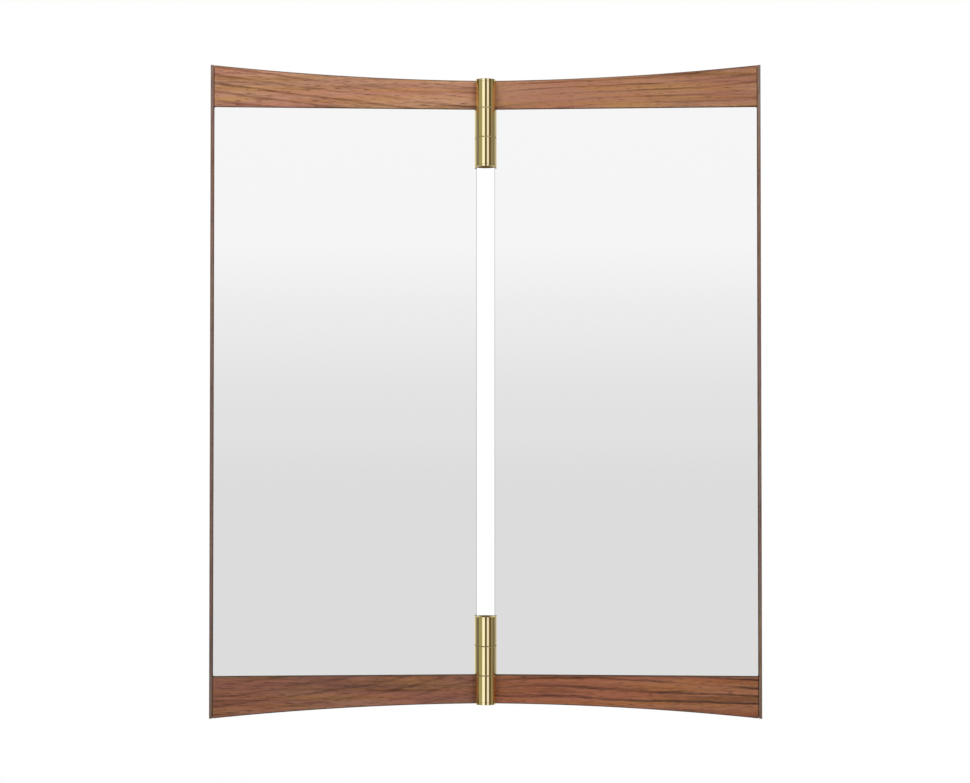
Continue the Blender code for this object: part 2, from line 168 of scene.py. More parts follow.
# Felt bumpers; the soft rim's points are measured in from the edge and down from the face
BUMPER_RADIUS = 8.0 * MM
BUMPER_HALF_THICKNESS = 0.75 * MM
BUMPER_RIM = ((0.9 * MM, 0.0), (0.4 * MM, 0.1 * MM), (0.0, 0.5 * MM))

# Main view: the camera stands on the bisector of the two panels
CAMERA_DISTANCE = 2.444
CAMERA_DROP = 0.055
AIM_OFFSET = (-0.65 * MM, 0.0, -0.5 * MM)
LENS = 84.34
SENSOR = 36.0

# Floor and studio
FLOOR_DROP = 0.40
FLOOR_RADIUS = 1.4

Panel = namedtuple("Panel", "name side matrix body")
Spans = namedtuple("Spans", "reach depth height")


# ---------------------------------------------------------------- places read from the frame

AXIS = Vector(frame["joints"][0]["pos_m"])
FIXED_BODY = frame["joints"][0]["parent"]
SWING_BODY = frame["joints"][0]["child"]


def fixed_spans(node):
    """Reach, depth and height spans of a node of the fixed panel."""
    low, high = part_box(node)
    return Spans(
        (AXIS.x - high.x, AXIS.x - low.x),
        (low.y - AXIS.y, high.y - AXIS.y),
        (low.z, high.z),
    )


def rest_fold():
    """How far the swinging panel is folded forward at rest, from its glass's nearest corner."""
    glass = fixed_spans("fixed_mirror_glass")
    front = AXIS.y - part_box("swing_mirror_glass")[0].y
    reach, depth = glass.reach[1], glass.depth[0]
    return math.asin(front / math.hypot(reach, depth)) + math.atan2(depth, reach)


FOLD = rest_fold()
FIXED = Panel("fixed", -1, Matrix.Translation(AXIS), FIXED_BODY)
SWING = Panel("swing", 1, Matrix.Translation(AXIS) @ Matrix.Rotation(-FOLD, 4, "Z"), SWING_BODY)


# ---------------------------------------------------------------- material helpers


class Nodes:
    """A node tree under construction, with short calls for the nodes it needs."""

    def __init__(self, tree):
        self.tree = tree

    def node(self, kind, **settings):
        made = self.tree.nodes.new(kind)
        for key, value in settings.items():
            setattr(made, key, value)
        return made

    def link(self, source, target):
        self.tree.links.new(source, target)

    def feed(self, socket, value):
        """Links an output socket, or sets a plain value."""
        if isinstance(value, bpy.types.NodeSocket):
            self.link(value, socket)
        else:
            socket.default_value = value

    def math(self, operation, first, second=0.0):
        made = self.node("ShaderNodeMath", operation=operation)
        self.feed(made.inputs[0], first)
        self.feed(made.inputs[1], second)
        return made.outputs[0]

    def place(self, scale=(1, 1, 1), offset=(0, 0, 0), turn=(0, 0, 0)):
        """The piece's own coordinates, turned, then stretched, then shifted."""
        source = self.node("ShaderNodeTexCoord").outputs["Object"]
        if any(turn):
            turned = self.node("ShaderNodeVectorRotate", rotation_type="EULER_XYZ")
            turned.inputs["Rotation"].default_value = turn
            self.link(source, turned.inputs["Vector"])
            source = turned.outputs["Vector"]
        mapping = self.node("ShaderNodeMapping")
        mapping.inputs["Scale"].default_value = scale
        mapping.inputs["Location"].default_value = offset
        self.link(source, mapping.inputs["Vector"])
        return mapping.outputs["Vector"]

    def noise(self, vector, scale, detail=2.0, roughness=0.5):
        made = self.node("ShaderNodeTexNoise")
        self.link(vector, made.inputs["Vector"])
        made.inputs["Scale"].default_value = scale
        made.inputs["Detail"].default_value = detail
        made.inputs["Roughness"].default_value = roughness
        return made.outputs["Fac"]

    def ramp(self, value, stops, interpolation="LINEAR"):
        """A colour ramp of (position, colour or grey) stops."""
        made = self.node("ShaderNodeValToRGB")
        made.color_ramp.interpolation = interpolation
        elements = made.color_ramp.elements
        while len(elements) < len(stops):
            elements.new(0.5)
        for element, (position, colour) in zip(elements, stops):
            element.position = position
            grey = isinstance(colour, (int, float))
            element.color = (colour, colour, colour, 1.0) if grey else (*colour, 1.0)
        self.link(value, made.inputs["Fac"])
        return made.outputs["Color"]

    def mix(self, factor, first, second, blend="MIX"):
        made = self.node("ShaderNodeMix", data_type="RGBA", blend_type=blend)
        self.feed(made.inputs["Factor"], factor)
        for socket, value in ((made.inputs[6], first), (made.inputs[7], second)):
            self.feed(socket, (*value, 1.0) if isinstance(value, tuple) else value)
        return made.outputs[2]


class Shader(Nodes):
    """A Principled material under construction."""

    def __init__(self, name):
        self.material = bpy.data.materials.new(name)
        self.material.use_nodes = True
        super().__init__(self.material.node_tree)
        self.surface = self.tree.nodes["Principled BSDF"]

    def bump(self, height, strength, distance):
        made = self.node("ShaderNodeBump")
        made.inputs["Strength"].default_value = strength
        made.inputs["Distance"].default_value = distance
        self.link(height, made.inputs["Height"])
        self.link(made.outputs["Normal"], self.surface.inputs["Normal"])

    def set(self, **values):
        for key, value in values.items():
            self.feed(self.surface.inputs[key.replace("_", " ")], value)


# Darkness across one growth ring of walnut, from early wood to late wood
RING_PROFILE = (
    (0.0, 0.15), (0.06, 0.0), (0.34, 0.0), (0.42, 0.35), (0.48, 0.05),
    (0.68, 0.18), (0.80, 0.9), (0.90, 1.0), (0.96, 0.8), (1.0, 0.15),
)


def wood_material(name, light, dark, board, turn=(0, 0, 0), ring=7.0 * MM, pith=(-0.25, 0.0),
                  tilt=(0.10, 0.05), line=0.55, gloss=0.42):
    """Walnut as a solid: growth rings round a tilted pith, fibres and pores along the grain.

    The board's number moves it to another place in the log, line is how dark its rings are, and
    gloss is its mean roughness.
    """
    wood = Shader(name)
    here = wood.place(turn=turn)
    split = wood.node("ShaderNodeSeparateXYZ")
    wood.link(here, split.inputs["Vector"])
    along, across, through = split.outputs["X"], split.outputs["Z"], split.outputs["Y"]

    def stretched(length_scale, width_scale):
        shift = (board * 1.7, board * 0.9, board * 2.3)
        scale = (length_scale, width_scale, width_scale)
        return wood.place(scale=scale, offset=shift, turn=turn)

    def centred(value, amount):
        return wood.math("MULTIPLY", wood.math("SUBTRACT", value, 0.5), amount)

    slow_waver = centred(wood.noise(stretched(2.6, 10.0), 1.0, detail=1.0), 0.040)
    quick_waver = centred(wood.noise(stretched(28.0, 120.0), 1.0, detail=3.0), 0.0030)
    side = wood.math("ADD", wood.math("ADD", across, pith[0]), wood.math("MULTIPLY", along, tilt[0]))
    deep = wood.math("ADD", wood.math("ADD", through, pith[1]), wood.math("MULTIPLY", along, tilt[1]))
    squares = wood.math("ADD", wood.math("MULTIPLY", side, side), wood.math("MULTIPLY", deep, deep))
    radius = wood.math("ADD", wood.math("SQRT", squares), wood.math("ADD", slow_waver, quick_waver))
    phase = wood.math("FRACT", wood.math("DIVIDE", radius, ring))
    rings = wood.ramp(phase, RING_PROFILE)
    strength = wood.ramp(wood.noise(stretched(5.0, 55.0), 1.0, detail=2.0), ((0.32, 0.15), (0.62, 1.0)))
    rings = wood.math("MULTIPLY", rings, strength)

    fibres = wood.noise(stretched(14.0, 520.0), 1.0, detail=5.0, roughness=0.62)
    streaks = wood.noise(stretched(4.5, 110.0), 1.0, detail=3.0, roughness=0.55)
    patches = wood.noise(stretched(5.0, 26.0), 1.0, detail=2.0)
    flecks = wood.noise(stretched(75.0, 850.0), 1.0, detail=2.0, roughness=0.6)
    pores = wood.noise(stretched(95.0, 1300.0), 1.0, detail=2.0, roughness=0.5)
    pores = wood.ramp(pores, ((0.0, 0.0), (0.58, 0.0), (0.70, 1.0)))

    shade = wood.math("ADD", wood.math("MULTIPLY", rings, line), 0.16)
    for value, amount in ((fibres, 1.4), (streaks, 1.2), (patches, 1.1), (flecks, 0.9)):
        shade = wood.math("ADD", shade, centred(value, amount))
    colour = wood.mix(shade, light, dark)
    ruddy = wood.ramp(wood.noise(stretched(7.0, 60.0), 1.0, detail=3.0), ((0.40, 0.0), (0.60, 0.9)))
    colour = wood.mix(ruddy, colour, (0.95, 0.80, 0.86), "MULTIPLY")
    golden = wood.ramp(wood.noise(stretched(9.0, 170.0), 1.0, detail=3.0), ((0.45, 0.0), (0.62, 0.9)))
    colour = wood.mix(golden, colour, (1.0, 0.98, 0.68), "MULTIPLY")
    pore_dark = tuple(channel * 0.45 for channel in dark)
    colour = wood.mix(wood.math("MULTIPLY", pores, 0.7), colour, pore_dark)
    height = wood.math("SUBTRACT", wood.math("MULTIPLY", fibres, 0.3), wood.math("MULTIPLY", pores, 0.8))
    rough = wood.math("ADD", wood.math("MULTIPLY", fibres, 0.16), gloss - 0.08)
    wood.set(Base_Color=colour, Roughness=rough, IOR=1.46)
    wood.bump(height, 0.35, 0.12 * MM)
    return wood.material


def mirror_material():
    """Silvered float glass: a sharp reflector whose silver varies by a hair."""
    glass = Shader("silvered_glass")
    haze = glass.noise(glass.place(), 6.0, detail=2.0, roughness=0.5)
    glass.set(
        Base_Color=glass.ramp(haze, ((0.3, (0.9610, 0.9625, 0.9625)), (0.7, (0.9615, 0.9630, 0.9630)))),
        Roughness=0.0,
        Metallic=1.0,
    )
    return glass.material


def glass_edge_material():
    """Ground and polished edge of clear glass, grey-green in its depth."""
    edge = Shader("polished_glass_edge")
    grind = edge.noise(edge.place(scale=(300, 300, 60)), 1.0, detail=3.0)
    edge.set(
        Base_Color=edge.ramp(grind, ((0.2, (0.46, 0.50, 0.49)), (0.8, (0.60, 0.64, 0.63)))),
        Roughness=edge.ramp(grind, ((0.3, 0.08), (0.8, 0.22))),
        Metallic=0.5,
        IOR=1.52,
    )
    edge.bump(grind, 0.1, 0.05 * MM)
    return edge.material


def brass_material():
    """Lacquered brass, turned and polished: fine rings round the axis and a little cloudiness."""
    brass = Shader("polished_brass")
    cloud = brass.noise(brass.place(scale=(60, 60, 20)), 1.0, detail=4.0, roughness=0.6)
    lathe = brass.noise(brass.place(scale=(3, 3, 4500)), 1.0, detail=2.0)
    brass.set(
        Base_Color=brass.ramp(cloud, ((0.25, (0.90, 0.75, 0.37)), (0.75, (0.93, 0.79, 0.41)))),
        Roughness=brass.math("ADD", brass.math("MULTIPLY", cloud, 0.03), 0.03),
        Metallic=1.0,
        Specular_Tint=(0.82, 0.74, 0.58, 1.0),
    )
    brass.bump(lathe, 0.03, 0.01 * MM)
    return brass.material


def plain_material(name, low, high, scale, rough, metallic=0.0, bump=0.1, stretch=(1, 1, 1)):
    """A mottled finish between two colours, with a bump of the same grain."""
    plain = Shader(name)
    grain = plain.noise(plain.place(scale=stretch), scale, detail=4.0, roughness=0.65)
    plain.set(
        Base_Color=plain.ramp(grain, ((0.3, low), (0.7, high))),
        Roughness=plain.ramp(grain, ((0.3, rough[0]), (0.7, rough[1]))),
        Metallic=metallic,
    )
    plain.bump(grain, bump, 0.1 * MM)
    return plain.material


UPRIGHT_GRAIN = (0.0, math.pi / 2, 0.0)
TOP_DARK = (0.110, 0.042, 0.021)
BOTTOM_DARK = (0.070, 0.026, 0.013)

RAIL_WOOD = {
    ("fixed", "top"): wood_material(
        "walnut_rail_a", (0.435, 0.231, 0.139), TOP_DARK, 1.0, tilt=(0.10, 0.02), ring=8.5 * MM, line=0.62
    ),
    ("swing", "top"): wood_material(
        "walnut_rail_b", (0.355, 0.181, 0.104), TOP_DARK, 4.0,
        tilt=(-0.09, -0.03), pith=(-0.27, 0.01), ring=7.0 * MM, line=0.75,
    ),
    ("fixed", "bottom"): wood_material(
        "walnut_rail_c", (0.374, 0.175, 0.106), BOTTOM_DARK, 7.0,
        tilt=(-0.16, 0.02), pith=(0.26, 0.02), ring=8.0 * MM, line=0.34,
    ),
    ("swing", "bottom"): wood_material(
        "walnut_rail_d", (0.412, 0.165, 0.081), BOTTOM_DARK, 11.0,
        tilt=(0.015, 0.03), pith=(0.27, 0.0), ring=7.5 * MM, line=0.8,
    ),
}
# Darker walnut for the eased edges of rails and lip: painted shade, a thin dark line along the arched edges
# and along the glass
EDGE_WALNUT_PAINTED_SHADE = wood_material(
    "walnut_eased_edge", (0.160, 0.103, 0.078), (0.075, 0.047, 0.035), 2.0, gloss=0.6
)
LIP_WALNUT = wood_material(
    "walnut_lip", (0.235, 0.160, 0.124), (0.100, 0.064, 0.050), 3.0, turn=UPRIGHT_GRAIN
)
STILE_WALNUT = wood_material(
    "walnut_rear_stile", (0.34, 0.170, 0.095), (0.10, 0.040, 0.022), 5.0, turn=UPRIGHT_GRAIN
)
BACK_WALNUT = wood_material(
    "walnut_back_veneer", (0.36, 0.185, 0.105), (0.12, 0.048, 0.026), 9.0, turn=UPRIGHT_GRAIN,
    ring=9.0 * MM, pith=(0.15, 0.03), tilt=(0.03, 0.12), gloss=0.55,
)
MIRROR = mirror_material()
GLASS_EDGE = glass_edge_material()
GLASS_PAINT = plain_material(
    "mirror_backing_paint", (0.20, 0.22, 0.24), (0.26, 0.28, 0.30), 120, (0.5, 0.6)
)
BRASS = brass_material()
STEEL = plain_material(
    "zinc_plated_steel", (0.58, 0.59, 0.61), (0.63, 0.64, 0.65), 900, (0.32, 0.38), 1.0, bump=0.05
)
SPRING_STEEL = plain_material(
    "ground_steel", (0.50, 0.50, 0.51), (0.62, 0.62, 0.63), 200, (0.18, 0.28), 1.0, stretch=(1, 1, 6)
)
NYLON = plain_material("bronze_nylon", (0.30, 0.23, 0.10), (0.36, 0.28, 0.13), 300, (0.4, 0.5))
TAPE = plain_material(
    "foam_tape", (0.72, 0.72, 0.70), (0.84, 0.84, 0.82), 900, (0.8, 0.9), bump=0.4
)
BEECH = plain_material(
    "plain_beech", (0.50, 0.33, 0.19), (0.66, 0.48, 0.30), 500, (0.6, 0.7), bump=0.3, stretch=(1, 1, 0.06)
)
FELT = plain_material(
    "pressed_felt", (0.035, 0.030, 0.026), (0.085, 0.075, 0.068), 1400, (0.9, 1.0), bump=0.9
)


# ---------------------------------------------------------------- mesh helpers


def to_mesh(name, form):
    bmesh.ops.recalc_face_normals(form, faces=form.faces)
    mesh = bpy.data.meshes.new(name)
    form.to_mesh(mesh)
    form.free()
    return mesh


def ease_edges(form, width, segments, material):
    """Rounds every edge where the surface turns by more than about a quarter of a right angle."""
    sharp = [edge for edge in form.edges if edge.calc_face_angle(0.0) > EASED_ANGLE]
    bmesh.ops.bevel(
        form, geom=sharp, offset=width, segments=segments, profile=0.5, affect="EDGES",
        material=material, clamp_overlap=True,
    )


def slab(name, outline, depths, ease, segments=3, edge_material=1):
    """An outline of (x, z) points, carried from one depth to another, with eased edges."""
    form = bmesh.new()
    face = form.faces.new([form.verts.new((x, depths[0], z)) for x, z in outline])
    carried = bmesh.ops.extrude_face_region(form, geom=[face])
    moved = [item for item in carried["geom"] if isinstance(item, bmesh.types.BMVert)]
    bmesh.ops.translate(form, vec=(0, depths[1] - depths[0], 0), verts=moved)
    ease_edges(form, ease, segments, edge_material)
    return to_mesh(name, form)


def block(name, x_span, y_span, z_span, ease, segments=2, edge_material=0):
    outline = [(x_span[0], z_span[0]), (x_span[1], z_span[0]), (x_span[1], z_span[1]), (x_span[0], z_span[1])]
    return slab(name, outline, y_span, ease, segments, edge_material)


def turned(name, profile, steps, closed=False):
    """A ring or a solid of revolution about Z, from (radius, height) points."""
    form = bmesh.new()
    rings = []
    for radius, height in profile:
        if radius == 0.0:
            rings.append([form.verts.new((0, 0, height))])
            continue
        angles = (2 * math.pi * step / steps for step in range(steps))
        rings.append([form.verts.new((radius * math.cos(a), radius * math.sin(a), height)) for a in angles])
    pairs = list(zip(rings, rings[1:]))
    if closed:
        pairs.append((rings[-1], rings[0]))
    for first, second in pairs:
        for step in range(steps):
            after = (step + 1) % steps
            corners = [first[step % len(first)], first[after % len(first)]]
            corners += [second[after % len(second)], second[step % len(second)]]
            form.faces.new(list(dict.fromkeys(corners)))
    return to_mesh(name, form)


def combined(base, others, operation):
    """Cuts or joins scratch meshes with a base mesh, and returns the result."""
    scratch = [bpy.data.objects.new("scratch", mesh) for mesh in (base, *others)]
    for item in scratch:
        bpy.context.scene.collection.objects.link(item)
        for _ in range(MATERIAL_PLACES - len(item.data.materials)):
            item.data.materials.append(None)
    for tool in scratch[1:]:
        step = scratch[0].modifiers.new("step", "BOOLEAN")
        step.operation = operation
        step.solver = "EXACT"
        step.object = tool
    bpy.context.view_layer.update()
    result = bpy.data.meshes.new_from_object(
        scratch[0].evaluated_get(bpy.context.evaluated_depsgraph_get())
    )
    for item in scratch:
        bpy.data.objects.remove(item)
    return result


def without_slivers(mesh):
    """Merges the points that cuts leave within a few microns of each other."""
    form = bmesh.new()
    form.from_mesh(mesh)
    bmesh.ops.remove_doubles(form, verts=form.verts, dist=SLIVER)
    bmesh.ops.dissolve_degenerate(form, edges=form.edges, dist=SLIVER)
    form.to_mesh(mesh)
    form.free()
    return mesh


def placed(mesh, matrix):
    mesh.transform(matrix)
    return mesh


def show(mesh, panel, nodes, materials, smooth=SHARP_ANGLE, weighted=True):
    """Makes a mesh in panel coordinates the visible stand-in of one or more CAD nodes."""
    piece = bpy.data.objects.new("shown_" + nodes[0], mesh)
    bpy.context.scene.collection.objects.link(piece)
    for index, material in enumerate(materials):
        if index < len(mesh.materials):
            mesh.materials[index] = material
        else:
            mesh.materials.append(material)
    while len(mesh.materials) > len(materials):
        mesh.materials.pop()
    mesh.shade_smooth()
    mesh.set_sharp_from_angle(angle=smooth)
    if weighted:
        normals = piece.modifiers.new("even_shading", "WEIGHTED_NORMAL")
        normals.keep_sharp = True
    piece.matrix_world = panel.matrix
    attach(piece, panel.body)
    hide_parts(*nodes)
    return piece


def side_span(panel, span):
    """A reach span as an x span on the panel's own side of the hinge axis."""
    return tuple(sorted((panel.side * span[0], panel.side * span[1])))


# ---------------------------------------------------------------- panels


OUTER = fixed_spans("fixed_outer_stile")
TOP_RAIL = fixed_spans("fixed_top_rail")
GLASS = fixed_spans("fixed_mirror_glass")
INNER = fixed_spans("fixed_inner_stile")
BOARD = fixed_spans("fixed_backing_board")
LIP_REACH = TOP_RAIL.reach[1] + PACKED_GAP


def arc_from_rail():
    """The arc's lowest height and radius, from the top rail's end, the outer edge and the axis."""
    near, far = TOP_RAIL.reach[1], OUTER.reach[1]
    near_height, far_height = TOP_RAIL.height[1], OUTER.height[1]
    radius = (far ** 2 - near ** 2) / (2 * (far_height - near_height))
    return far_height - far ** 2 / (2 * radius), radius


ARC_BOTTOM, ARC_RADIUS = arc_from_rail()


def arc_height(reach):
    """Half height of a panel at a reach; the sagitta is a parabola to within a few microns."""
    return ARC_BOTTOM + reach ** 2 / (2 * ARC_RADIUS)


def rail_outline(panel, sign):
    """The straight edge along the glass and the arched outer edge of a rail."""
    inner, outer = TOP_RAIL.reach
    edge = TOP_RAIL.height[0] - JOINT_FILL
    reaches = [outer + (inner - outer) * step / ARC_STEPS for step in range(ARC_STEPS + 1)]
    points = [(inner, edge), (outer, edge)]
    points += [(reach, arc_height(reach)) for reach in reaches]
    return [(panel.side * reach, sign * height) for reach, height in points]


def hanger_pockets():
    """Recesses for the keyhole plates and their pockets, to cut from the fixed top rail."""
    cutters = []
    for label in ("left", "right"):
        plate = fixed_spans(f"wall_hanger_{label}")
        x_low, x_high = side_span(FIXED, plate.reach)
        z_low, z_high = plate.height
        front, back = plate.depth
        middle = (x_low + x_high) / 2
        cutters.append(block(
            "recess",
            (x_low - PACKED_GAP, x_high + PACKED_GAP),
            (front - PACKED_GAP, back + CUT_BEYOND),
            (z_low - PACKED_GAP, z_high + PACKED_GAP),
            POCKET_EASE,
        ))
        cutters.append(block(
            "pocket",
            (middle - POCKET_HALF_WIDTH, middle + POCKET_HALF_WIDTH),
            (back - POCKET_DEPTH, back + CUT_BEYOND),
            (z_low + POCKET_MARGIN, z_high - POCKET_MARGIN),
            POCKET_EASE,
        ))
    return cutters


def rims_without_painted_shade(mesh, end):
    """The eased edges that meet the lip, and on the top rails those over the glass, are as light as the
    rail's face: they keep the rail's own wood, not the darker walnut of painted shade that the other eased
    edges get.
    """
    rim = 1.5 * WOOD_EASE
    for face in mesh.polygons:
        beside_lip = abs(face.center.x) > TOP_RAIL.reach[1] - rim
        over_glass = end == "top" and abs(face.center.z) < TOP_RAIL.height[0] + rim
        if beside_lip or over_glass:
            face.material_index = 0


def build_rails(panel):
    for end, sign in (("top", 1), ("bottom", -1)):
        node = f"{panel.name}_{end}_rail"
        # The eased edges get the darker walnut of painted shade, a thin dark line along the arched edge and
        # the glass
        mesh = slab(node, rail_outline(panel, sign), TOP_RAIL.depth, WOOD_EASE)
        rims_without_painted_shade(mesh, end)
        if node == "fixed_top_rail":
            mesh = combined(mesh, hanger_pockets(), "DIFFERENCE")
        show(mesh, panel, [node], [RAIL_WOOD[panel.name, end], EDGE_WALNUT_PAINTED_SHADE])


def build_outer_stile(panel):
    """The thin lip beside the rails and glass, joined to the wider part behind the glass."""
    node = f"{panel.name}_outer_stile"
    lip_inner = LIP_REACH - JOINT_FILL
    near, far = arc_height(lip_inner), arc_height(OUTER.reach[1])
    corners = ((lip_inner, -near), (OUTER.reach[1], -far), (OUTER.reach[1], far), (lip_inner, near))
    lip = slab(node, [(panel.side * x, z) for x, z in corners], OUTER.depth, LIP_EASE)
    x_span = side_span(panel, (OUTER.reach[0], LIP_REACH + LIP_OVERLAP))
    depths = (INNER.depth[0], OUTER.depth[1] - REAR_INSET)
    rear = block("rear", x_span, depths, INNER.height, BOARD_EASE)
    # The lip's eased edges get the darker walnut of painted shade
    woods = [LIP_WALNUT, EDGE_WALNUT_PAINTED_SHADE, STILE_WALNUT]
    for face in rear.polygons:
        face.material_index = woods.index(STILE_WALNUT)
    show(combined(lip, [rear], "UNION"), panel, [node], woods)


def build_flat_members(panel):
    """The inner stile and the backing board, whose back faces show from behind."""
    for part, spans, wood, slot in (
        ("inner_stile", INNER, STILE_WALNUT, "walnut_stile"),
        ("backing_board", BOARD, BACK_WALNUT, "back_veneer"),
    ):
        x_span = side_span(panel, spans.reach)
        mesh = block(part, x_span, spans.depth, spans.height, BOARD_EASE)
        show(mesh, panel, [f"{panel.name}_{part}"], [wood])


def rounded_rectangle(x_span, z_span, inset):
    """Corners rounded in small steps; every inset has the same number of points."""
    radius = max(CORNER_RADIUS - inset, SHARPEST_CORNER)
    x_low, x_high = x_span[0] + inset + radius, x_span[1] - inset - radius
    z_low, z_high = z_span[0] + inset + radius, z_span[1] - inset - radius
    corners = ((x_high, z_high, 0), (x_low, z_high, 1), (x_low, z_low, 2), (x_high, z_low, 3))
    points = []
    for x, z, quarter in corners:
        for step in range(CORNER_STEPS + 1):
            angle = (quarter + step / CORNER_STEPS) * math.pi / 2
            points.append((x + radius * math.cos(angle), z + radius * math.sin(angle)))
    return points


def build_glass(panel):
    """Mirror glass with a shallow polished bevel and a ground arris all round."""
    x_span, z_span = side_span(panel, GLASS.reach), GLASS.height
    front, back = GLASS.depth
    levels = (
        (BEVEL_WIDTH + ARRIS, front, 0),
        (ARRIS, front + BEVEL_DROP, 0),
        (0.0, front + BEVEL_DROP + ARRIS, 1),
        (0.0, back, 1),
    )
    form = bmesh.new()
    loops = []
    for inset, depth, _ in levels:
        outline = rounded_rectangle(x_span, z_span, inset)
        loops.append([form.verts.new((x, depth, z)) for x, z in outline])
    form.faces.new(loops[0]).material_index = 0
    form.faces.new(loops[-1]).material_index = 2
    for (first, second), (_, _, material) in zip(zip(loops, loops[1:]), levels):
        count = len(first)
        for index in range(count):
            after = (index + 1) % count
            face = form.faces.new((first[index], first[after], second[after], second[index]))
            face.material_index = material
    node = f"{panel.name}_mirror_glass"
    mesh = to_mesh(node, form)
    show(mesh, panel, [node], [MIRROR, GLASS_EDGE, GLASS_PAINT], FACET_ANGLE, False)


# ---------------------------------------------------------------- hinges and fasteners


def knuckle_profile(bore, radius, low, high):
    """Cross-section of a knuckle: a tube with small chamfers at both outer rims."""
    return [
        (bore, high),
        (radius - KNUCKLE_CHAMFER, high),
        (radius, high - KNUCKLE_CHAMFER),
        (radius, low + KNUCKLE_CHAMFER),
        (radius - KNUCKLE_CHAMFER, low),
        (bore, low),
    ]


def drum(radius, low, high):
    """A plain cylinder to cut with."""
    return turned("drum", [(0, low), (radius, low), (radius, high), (0, high)], SMALL_STEPS)


def screw_cutter(head_place, turn):
    """A cone and a bore for one countersunk screw, whose face is at the head's place."""
    profile = [
        (0.0, -HOLE_DEPTH),
        (HOLE_RADIUS, -HOLE_DEPTH),
        (HOLE_RADIUS, -SINK_DEPTH),
        (SINK_RADIUS, 0.0),
        (SINK_RADIUS, MM),
        (0.0, MM),
    ]
    return placed(turned("cutter", profile, SMALL_STEPS), Matrix.Translation(head_place) @ turn)


def hinge_numbers(end):
    """Radius, bore, and the three knuckle spans of a hinge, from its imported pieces."""
    cap_low, cap_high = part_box(f"{end}_hinge_cap_outer")
    pin_low, pin_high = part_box(f"{end}_hinge_pin")
    radius = (cap_high.x - cap_low.x) / 2
    bore = (pin_high.x - pin_low.x) / 2 + PACKED_GAP
    heights = []
    for place in ("outer", "inner"):
        low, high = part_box(f"{end}_hinge_washer_{place}")
        heights += [low.z - PACKED_GAP, high.z + PACKED_GAP]
    ends = sorted((pin_low.z, pin_high.z, *heights))
    return radius, bore, [(ends[0], ends[1]), (ends[2], ends[3]), (ends[4], ends[5])]


def build_leaf(panel, end, own):
    """A hinge leaf: plate, webs and its own knuckles in one, with countersunk screw holes."""
    node = f"{end}_hinge_{panel.name}_leaf"
    radius, bore, knuckles = hinge_numbers(end)
    leaf = fixed_spans(f"{end}_hinge_fixed_leaf")
    screw_low, screw_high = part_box(f"{end}_hinge_fixed_leaf_screw_end")
    plate_inner = AXIS.x - screw_high.x - SCREW_INSET
    plate_outer = INNER.reach[0] - PACKED_GAP
    x_span = side_span(panel, (plate_inner, plate_outer))
    plate_front = OUTER.depth[0] + PLATE_SETBACK
    mesh = block(node, x_span, (plate_front, leaf.depth[1]), leaf.height, PLATE_EASE, 2)
    additions = []
    for index in own:
        low, high = knuckles[index]
        profile = knuckle_profile(bore - KNUCKLE_SURPLUS, radius, low, high)
        additions.append(turned("knuckle", profile, ROUND_STEPS, True))
        web_depths = (WEB_FRONT, plate_front + WEB_OVERLAP)
        web_heights = (low + WEB_INSET, high - WEB_INSET)
        additions.append(block("web", x_span, web_depths, web_heights, WEB_EASE, 1))
    mesh = combined(mesh, additions, "UNION")
    cutters = [drum(bore, leaf.height[0] - MM, leaf.height[1] + MM)]
    depth = (screw_low.y + screw_high.y) / 2 - AXIS.y
    turn = Matrix.Rotation(-panel.side * math.pi / 2, 4, "Y")
    inward = Vector((panel.side, 0, 0))
    for place in ("rail", "middle", "end"):
        low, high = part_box(f"{end}_hinge_fixed_leaf_screw_{place}")
        head = Vector((panel.side * plate_inner, depth, (low.z + high.z) / 2))
        cutters.append(screw_cutter(head, turn))
        build_screw(panel, f"{node}_screw_{place}", head, turn, inward, BRASS, "brass")
    mesh = without_slivers(combined(mesh, cutters, "DIFFERENCE"))
    still = panel._replace(matrix=Matrix.Identity(4))
    show(placed(mesh, panel.matrix), still, [node], [BRASS], LEAF_SHARP_ANGLE, False)


def screw_profile():
    """Half of a wood screw's outline, from its head's face down a turned thread to its end."""
    profile = [
        (0.0, 0.0),
        (SCREW_HEAD_RADIUS - SCREW_RIM, 0.0),
        (SCREW_HEAD_RADIUS, -SCREW_CROWN),
        (SCREW_HEAD_RADIUS, -SCREW_RIM),
        (SHANK_RADIUS, -SCREW_CONE_DEPTH),
        (SHANK_RADIUS, -SHANK_DEPTH),
    ]
    root = SHANK_RADIUS - THREAD_DEPTH
    height = -SHANK_DEPTH
    while height - THREAD_PITCH > THREAD_END - SCREW_LENGTH:
        profile.append((root, height - THREAD_FLANK * THREAD_PITCH))
        profile.append((root, height - (1 - THREAD_FLANK) * THREAD_PITCH))
        height -= THREAD_PITCH
        profile.append((SHANK_RADIUS, height))
    return profile + [(root, SCREW_POINT - SCREW_LENGTH), (0.0, -SCREW_LENGTH)]


def build_screw(panel, node, face, turn, inward, material, slot):
    """A slotted countersunk wood screw with a turned thread of fine ridges."""
    body = turned(node, screw_profile(), SMALL_STEPS)
    drive_width = (-DRIVE_HALF_WIDTH, DRIVE_HALF_WIDTH)
    drive_length = (-CUT_BEYOND, CUT_BEYOND)
    groove = block("groove", drive_width, drive_length, (-DRIVE_DEPTH, MM), CUT_EASE)
    if slot == "steel":
        placed(groove, Matrix.Rotation(math.pi / 2, 4, "Z"))
    mesh = combined(body, [groove], "DIFFERENCE")
    placed(mesh, Matrix.Translation(face + inward * SCREW_INSET) @ turn)
    show(mesh, panel, [node], [material], TURNED_SHARP_ANGLE, False)


